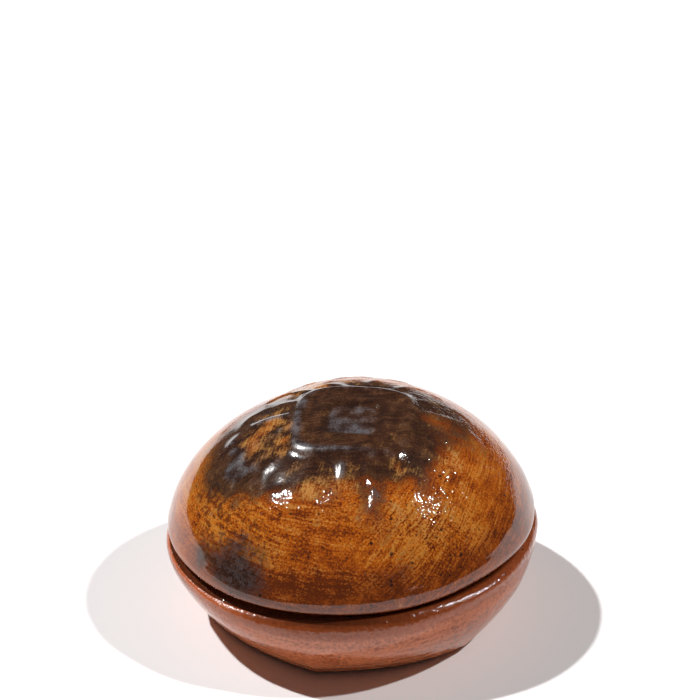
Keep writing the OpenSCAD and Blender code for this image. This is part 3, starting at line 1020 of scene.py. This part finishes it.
@dataclass
class Lid:
    """The dome with the relief on its crown and the recess under it."""

    seam: Seam
    body: Body
    clear: float = 0.45
    lip_gap: float = 0.9
    inset: float = 0.7
    lip_round: float = 1.4
    lip_draw: float = 0.5
    height: float = 26.0
    power_r: float = 2.18
    power_z: float = 1.52
    wall: float = 5.4
    basin_x: float = 1.5
    basin_y: float = -4.4
    basin_half: float = 11.2
    basin_turn: float = -7.0
    basin_power: float = 5.0
    border_h: float = 0.75
    border_w: float = 1.3
    well_half: float = 5.6
    well_d: float = 1.1
    well_edge: float = 1.1
    petal_count: int = 16
    petal_tip: float = 24.5
    petal_rim: float = 0.48
    petal_rise: float = 0.06
    petal_hollow: float = 0.08
    petal_sway: float = 4.0
    tip_sway: float = 1.5
    worn_x: float = -14.0
    worn_y: float = -18.5
    worn_r: float = 8.5
    worn_share: float = 0.95
    press_d: float = 1.2
    press: Side = Side(150.0, 38.0)
    press_r: float = 21.5
    press_w: float = 9.0
    relief_r: float = 28.0
    crown_x: float = -1.0
    crown_y: float = -4.5
    crown_half: Span = (28.0, 18.0)
    crown_power: float = 2.6
    crown_fade: Span = (0.72, 1.25)
    swells: tuple[Patch, ...] = patches(
        (243.0, 31.0, 6.0, 1.2), (232.0, 23.0, 7.0, 0.5), (300.0, 31.0, 6.0, 0.6)
    )
    swell_fade: Span = (32.0, 37.0)
    edge_waves: tuple[Side, ...] = (Side(314.0, 16.0, 0.55), Side(350.0, 14.0, -0.42), Side(226.0, 26.0, 0.4))
    edge_ripple: float = 0.1
    edge_ripples: int = 7
    edge_rise: float = 12.0
    tuck_d: float = 0.2
    flare: Side = Side(238.0, 22.0, 0.5)
    flare_share: float = 0.75
    recess_soft: float = 0.3
    lump_h: float = 0.11
    dent_h: float = 0.04
    draw_in: float = 0.06
    steps: int = 448
    lumps: Lumps = field(default_factory=lambda: Lumps(21, 11.0))
    dents: Lumps = field(default_factory=lambda: Lumps(22, 4.0))
    wander: Lumps = field(default_factory=lambda: Lumps(23, 7.0))
    beads: Lumps = field(default_factory=lambda: Lumps(24, 2.6))
    hollow_least: float = 0.1
    hollow_sides: tuple[Side, ...] = (Side(200.0, 22.0, 0.3), Side(258.0, 18.0, 0.22), Side(112.0, 35.0, 0.8))
    glaze_patches: Mapping[Mark, tuple[Patch, ...]] = field(default_factory=lambda: LID_PATCHES)

    @property
    def lid_r(self) -> float:
        """Radius of the lid's widest line."""
        return self.body.reach - self.inset

    @property
    def lip_top(self) -> float:
        """Height of the lid's widest line above the ledge."""
        return self.lip_gap + self.lip_round

    def dome(self, r: Array) -> Array:
        """Height of the smooth dome at a distance from the axis."""
        full = np.maximum(0.0, 1.0 - (r / self.lid_r) ** self.power_r)
        return self.lip_top + (self.height - self.lip_top) * full ** (1.0 / self.power_z)

    def square(self, x: Array, y: Array) -> Array:
        """Distance from the middle of the basin, measured as a rounded square.

        Args:
            x: Places to the right of the axis.
            y: Places behind the axis.

        Returns:
            The distances.
        """
        n, turn = self.basin_power, math.radians(self.basin_turn)
        x, y = x - self.basin_x, y - self.basin_y
        across = x * math.cos(turn) + y * math.sin(turn)
        along = y * math.cos(turn) - x * math.sin(turn)
        return (np.abs(across) ** n + np.abs(along) ** n) ** (1.0 / n)

    def relief(self, x: Array, y: Array) -> Relief:
        """Relief on the crown.

        Args:
            x: Places to the right of the axis.
            y: Places behind the axis.

        Returns:
            The relief at those places.
        """
        square = self.square(x, y)
        r = np.hypot(x - self.basin_x, y - self.basin_y)
        turns = np.degrees(np.arctan2(y - self.basin_y, x - self.basin_x))
        flat = np.stack([x, y, np.zeros_like(x)], axis=-1)
        border = hill(square - self.basin_half, self.border_w)
        well = 1.0 - ease(square, self.well_half - self.well_edge, self.well_half + self.well_edge)
        step = 360.0 / self.petal_count
        off = (turns + self.petal_sway * self.wander.at(flat) + step / 2) % step - step / 2
        across = np.radians(np.abs(off)) * r
        half = math.radians(step) / 2
        core = (self.petal_tip + self.tip_sway * self.wander.at(flat + 40.0)) / (1.0 + half)
        gap = np.hypot(across, np.maximum(0.0, r - core)) - half * np.minimum(r, core)
        outside = ease(square, self.basin_half + 0.8, self.basin_half + 3.4)
        front = (0.45 + 0.55 * ease(-y, -6.0, 6.0)) * (1.0 - 0.45 * ease(x, 8.0, 20.0))
        firm = np.clip(0.75 + 0.4 * self.dents.at(flat + 80.0) + 0.5 * self.beads.at(flat), 0.1, 1.5) * front
        worn = 1.0 - self.worn_share * hill(np.hypot(x - self.worn_x, y - self.worn_y), self.worn_r)
        firm = firm * worn
        rim = np.where(gap < 0.0, hill(gap, 1.0), hill(gap, 1.6)) * outside * firm
        hollow = (1.0 - ease(gap, -2.6, -0.7)) * outside
        press = self.press.at(np.degrees(np.arctan2(y, x)))
        press = press * hill(np.hypot(x, y) - self.press_r, self.press_w)
        height = self.border_h * border - self.well_d * well + self.petal_rim * rim
        height += self.petal_rise * (1.0 - ease(gap, -0.5, 3.5)) * outside * front * worn
        height -= self.petal_hollow * hollow * front + self.press_d * press
        height += self.shoulder(x, y)
        ridge = np.clip(border + 1.1 * rim + 0.75 * ease(well, 0.6, 1.0), 0.0, 1.0)
        groove = hill(square - self.well_half, 0.9) + hill(np.abs(square - self.basin_half) - 2.4, 0.9)
        groove = groove + hill(gap + 1.9, 0.6) * outside
        return Relief(height, ridge, np.clip(groove, 0.0, 1.0), hollow)

    def shoulder(self, x: Array, y: Array) -> Array:
        """Broad swellings that the hand left on the dome, none of them near its edge.

        Args:
            x: Places to the right of the axis.
            y: Places behind the axis.

        Returns:
            Their height over the dome.
        """
        total = np.zeros_like(x)
        for swell in self.swells:
            a = math.radians(swell.turn)
            away = np.hypot(x - swell.reach * math.cos(a), y - swell.reach * math.sin(a))
            total += swell.strength * hill(away, swell.size)
        return total * (1.0 - ease(np.hypot(x, y), *self.swell_fade))

    def edge_wave(self, turns: Array) -> Array:
        """Rise and fall of the lower edge round the lid, with finer ripples away from the right side.

        Args:
            turns: Directions in degrees.

        Returns:
            The height over an even edge.
        """
        wave = sum(side.at(turns) for side in self.edge_waves)
        ripple = self.edge_ripple * np.cos(np.radians(self.edge_ripples * turns))
        return wave + ripple * ease(turn_between(turns, 0.0), 30.0, 60.0)

    def painted(self, points: Array, spots: Sequence[Patch]) -> Array:
        """Sum of soft patches at points of the dome.

        Args:
            points: Points on the seam's axes.
            spots: The patches.

        Returns:
            The sum at each point.
        """
        total = np.zeros(points.shape[:-1])
        for patch in spots:
            centre = ring_points(np.array([patch.turn]), patch.reach, self.dome(np.array(patch.reach)))[0]
            total += patch.strength * hill(np.linalg.norm(points - centre, axis=-1), patch.size)
        return total

    def crown(self, points: Array) -> Array:
        """How far the dark pool on the crown covers points of the dome, from 0 to 1.

        Args:
            points: Points on the seam's axes.

        Returns:
            The cover at each point.
        """
        x, y = points[..., 0], points[..., 1]
        n, (half_x, half_y) = self.crown_power, self.crown_half
        across, along = np.abs(x - self.crown_x) / half_x, np.abs(y - self.crown_y) / half_y
        return 1.0 - ease((across**n + along**n) ** (1.0 / n), *self.crown_fade)

    def calm(self, points: Array) -> Array:
        """How smooth the glaze settled at points of the dome, from 0 to 1, before its patches.

        Args:
            points: Points on the seam's axes.

        Returns:
            The smoothness at each point.
        """
        x, z = points[..., 0], points[..., 2]
        skirt = 1.0 - ease(z, 5.0, 11.0)
        right = (1.0 - ease(z, 7.0, 14.0)) * ease(x, 14.0, 25.0)
        left = ease(-x, 22.0, 29.0)
        crown = 0.95 * ease(self.crown(points), 0.1, 0.6) * (1.0 - ease(x, 6.0, 14.0))
        return np.maximum.reduce([skirt, right, left, crown])

    def marks(self, points: Array, relief: Relief) -> dict[Mark, Array]:
        """Marks of the dome's points for the finish.

        Args:
            points: Points on the seam's axes.
            relief: The relief there.

        Returns:
            The marks.
        """
        x, y = points[..., 0], points[..., 1]
        turns = np.degrees(np.arctan2(y, x)) % 360.0
        bright = sum((side.at(turns) for side in self.hollow_sides), self.hollow_least)
        pale = (1.0 - 0.7 * ease(x, 2.0, 12.0)) * (1.0 - 0.3 * ease(y, 0.0, 8.0))
        marks = {
            Mark.DARK: self.crown(points),
            Mark.RIDGE: relief.ridge * pale,
            Mark.GROOVE: relief.groove,
            Mark.HOLLOW: relief.hollow * bright,
            Mark.EDGE: 1.0 - ease(points[..., 2], 2.0, 11.0),
            Mark.RIGHT: ease(x, -6.0, 10.0),
            Mark.CALM: self.calm(points),
            Mark.LEFT: ease(-x, 19.0, 29.0),
        }
        for mark, spots in self.glaze_patches.items():
            marks[mark] = marks.get(mark, 0.0) + self.painted(points, spots)
        for mark in (Mark.DARK, Mark.RIDGE, Mark.HOLLOW):
            marks[mark] = np.clip(marks[mark], 0.0, 1.0)
        return marks

    def build(self) -> bpy.types.Object:
        """Builds the skin, from the crown over the lip to the ceiling of the hollow.

        Returns:
            The new object.
        """
        skin = Skin("lid_shell")
        turns = circle(self.steps)
        self._outside(skin, turns)
        self._lip(skin, turns)
        self._inside(skin, turns)
        return skin.build()

    def _uneven(self, points: Array, turns: Array, amount: float = 1.0) -> Array:
        """Pushes points out and in by the hand's unevenness.

        Args:
            points: Points on the seam's axes.
            turns: Their directions in degrees.
            amount: Share of the unevenness.

        Returns:
            The moved points.
        """
        push = self.lump_h * self.lumps.at(points) + self.dent_h * self.dents.at(points) - self.draw_in
        push = push * amount
        up = ease(points[:, 2], 6.0, 20.0)
        return points + ring_points(turns, push * (1.0 - 0.6 * up), push * up)

    def _lower(self, points: Array, turns: Array) -> Array:
        """Bends points near the lower edge by its wave.

        Args:
            points: Points on the seam's axes.
            turns: Their directions in degrees.

        Returns:
            The moved points.
        """
        near = 1.0 - ease(points[:, 2], self.lip_top, self.lip_top + self.edge_rise)
        points = points.copy()
        points[:, 2] += self.edge_wave(turns) * near
        return points

    def tuck(self, turns: Array, height: Array) -> Array:
        """How far the wall above the lip is drawn in. At the left of the front the lip flares out.

        Args:
            turns: Directions in degrees.
            height: Heights on the seam's axes.

        Returns:
            Lengths towards the axis.
        """
        narrow = ease(height, self.lip_top - 0.3, self.lip_top + 2.4)
        broad = ease(height, self.lip_top - 0.3, self.lip_top + 4.0)
        return self.tuck_d * narrow + self.flare.at(turns) * (broad - self.flare_share)

    def _outside(self, skin: Skin, turns: Array) -> None:
        """Adds the dome: square rings round the basin turn into round ones on the axis.

        Args:
            skin: The skin that the rings are added to.
            turns: Directions in degrees.
        """
        end = math.asin((self.relief_r / self.lid_r) ** (self.power_r / 2.0))
        radii = list(self.relief_r * np.linspace(0.006, 1.0, 112))
        for u in np.linspace(end, math.pi / 2, 46)[1:]:
            radii.append(self.lid_r * math.sin(u) ** (2.0 / self.power_r))
        a = np.radians(turns)
        for r in radii:
            outer = float(ease(r, self.basin_half, self.relief_r))
            power = self.basin_power + (2.0 - self.basin_power) * outer
            reach = r / (np.abs(np.cos(a)) ** power + np.abs(np.sin(a)) ** power) ** (1.0 / power)
            x = reach * np.cos(a) + self.basin_x * (1.0 - outer)
            y = reach * np.sin(a) + self.basin_y * (1.0 - outer)
            relief = self.relief(x, y)
            points = np.stack([x, y, self.dome(np.hypot(x, y)) + relief.height], axis=-1)
            marks = self.marks(points, relief)
            own = np.degrees(np.arctan2(y, x))
            points = points - ring_points(own, self.tuck(own, points[:, 2]), 0.0)
            points = self._lower(self._uneven(points, own), own)
            skin.add(self.seam.place(points), marks)

    def _lip(self, skin: Skin, turns: Array) -> None:
        """Adds the rounding under the widest line and the underside of the lip.

        Args:
            skin: The skin that the rings are added to.
            turns: Directions in degrees.
        """
        for u in np.radians(np.linspace(0.0, 90.0, 9)[1:]):
            r = self.lid_r - self.lip_draw * (1.0 - math.cos(u))
            points = ring_points(turns, r, self.lip_top - self.lip_round * math.sin(u))
            marks = self.marks(points, self.relief(points[:, 0], points[:, 1]))
            points = points - ring_points(turns, self.tuck(turns, points[:, 2]), 0.0)
            marks[Mark.BARE] = 0.5 * ease(u, 0.9, 1.4)
            points = self._lower(self._uneven(points, turns, 1.0 - 0.5 * math.sin(u)), turns)
            skin.add(self.seam.place(points), marks)
        start, end = self.lid_r - self.lip_draw, self.body.ring_r + self.clear
        for share in (0.15, 0.4, 0.7, 0.9):
            points = ring_points(turns, start + (end - start) * share, self.lip_gap)
            points[:, 2] += self.edge_wave(turns) * (1.0 - share)
            skin.add(self.seam.place(points), {Mark.BARE: 0.3})

    def _inside(self, skin: Skin, turns: Array) -> None:
        """Adds the recess that drops over the ring, and the hollow of the dome.

        Args:
            skin: The skin that the rings are added to.
            turns: Directions in degrees.
        """
        recess, ring_h, mouth = self.body.ring_r + self.clear, self.body.ring_h, self.body.bowl_r
        soft = self.recess_soft
        profile = []
        for u in (0.4, 1.0):
            r, z = recess - soft * (1 - math.cos(u)) + soft, self.lip_gap + soft * math.sin(u)
            profile.append((r, z, 0.3))
        profile += [(recess, z, 0.5) for z in np.linspace(self.lip_gap + soft, ring_h - soft, 5)]
        profile += [(recess - 0.1, ring_h - 0.05, 0.8)]
        profile += [(r, ring_h, 1.0) for r in np.linspace(recess - 0.35, mouth + 0.3, 5)]
        profile += [(mouth + 0.08, ring_h + 0.08, 0.8)]
        ceiling = self.height - self.wall
        for u in np.radians(np.linspace(88.0, 1.0, 30)):
            r = mouth * math.sin(u) ** (2.0 / self.power_r)
            profile.append((r, ring_h + (ceiling - ring_h) * math.cos(u) ** (2.0 / self.power_z), 0.0))
        for r, z, bare in profile:
            marks = {Mark.BARE: bare, Mark.INSIDE: 1.0, Mark.OCHRE: 0.2}
            skin.add(self.seam.place(ring_points(turns, r, z)), marks)

    def dress(self, made: bpy.types.Object) -> None:
        """Gives the lid its finish and its place in the frame.

        Args:
            made: The built lid.
        """
        made.data.materials.append(LidGlaze().make())
        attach(made, "lid")
        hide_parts("lid")


@dataclass(frozen=True)
class Lamp:
    """A far lamp, by the direction in which it stands, its strength and its width in degrees."""

    name: str
    turn: float
    rise: float
    strength: float
    width: float = 2.0
    away: float = 0.8

    def build(self) -> None:
        """Makes the lamp, aimed at the box."""
        data = bpy.data.lights.new(self.name, "SUN")
        data.energy = self.strength
        data.angle = math.radians(self.width)
        made = add_object(self.name, data)
        a, e = math.radians(self.turn), math.radians(self.rise)
        aim = Vector((math.cos(e) * math.cos(a), math.cos(e) * math.sin(a), math.sin(e)))
        made.location = aim * self.away
        made.rotation_euler = aim.to_track_quat("Z", "Y").to_euler()


@dataclass
class Studio:
    """The pale floor, the lamps, the room and the camera."""

    floor_r: float = 4.0
    floor_steps: int = 96
    floor_colour: Colour = (0.93, 0.915, 0.915)
    room: float = 0.035
    camera_place: tuple[float, float, float] = (-0.00017, -0.3089, 0.190)
    camera_pitch: float = 23.4
    camera_roll: float = -0.1
    focal_px: float = 1700.0
    picture_px: float = 700.0
    sensor: float = 36.0
    nearest: float = 0.01
    lamps: tuple[Lamp, ...] = (
        Lamp("lamp_right", -7.0, 51.5, 1.8),
        Lamp("lamp_left", 166.5, 58.5, 3.1),
    )

    def build(self) -> None:
        """Makes everything round the box."""
        bpy.context.scene.view_settings.view_transform = "Standard"
        self._floor()
        self._room()
        for lamp in self.lamps:
            lamp.build()
        self._camera()

    def _floor(self) -> None:
        """Makes the floor."""
        mesh = bpy.data.meshes.new("floor")
        turns = circle(self.floor_steps)
        mesh.from_pydata(ring_points(turns, self.floor_r, 0.0).tolist(), [], [list(range(len(turns)))])
        made = add_object("floor", mesh)
        material, g = new_material("floor_paper")
        matt = g.node("ShaderNodeBsdfDiffuse", {}, {"Color": self.floor_colour})
        g.node("ShaderNodeOutputMaterial", {}, {"Surface": matt})
        mesh.materials.append(material)

    def _room(self) -> None:
        """Makes the dim room."""
        world = bpy.data.worlds.new("room")
        bpy.context.scene.world = world
        world.use_nodes = True
        g = Graph(world.node_tree)
        shown = g.node("ShaderNodeBackground", {}, {"Color": (self.room,) * 3, "Strength": 1.0})
        g.node("ShaderNodeOutputWorld", {}, {"Surface": shown})

    def _camera(self) -> None:
        """Makes the camera at the photograph's place."""
        data = bpy.data.cameras.new("camera")
        data.sensor_width = self.sensor
        data.lens = self.sensor * self.focal_px / self.picture_px
        data.clip_start = self.nearest
        made = add_object("camera", data)
        tilt = Matrix.Rotation(math.radians(90.0 - self.camera_pitch), 4, "X")
        roll = Matrix.Rotation(math.radians(self.camera_roll), 4, "Z")
        made.matrix_world = Matrix.Translation(self.camera_place) @ tilt @ roll
        bpy.context.scene.camera = made


def main() -> None:
    """Builds the box, dresses it and sets the stage."""
    logging.basicConfig(level=logging.INFO, format="%(name)s: %(message)s")
    seam = Seam()
    Studio().build()
    body = Body(seam)
    for piece in (body, Lid(seam, body)):
        made = piece.build()
        piece.dress(made)
        LOG.info("%s has %d faces", made.name, len(made.data.polygons))


if __name__ == "__main__":
    main()
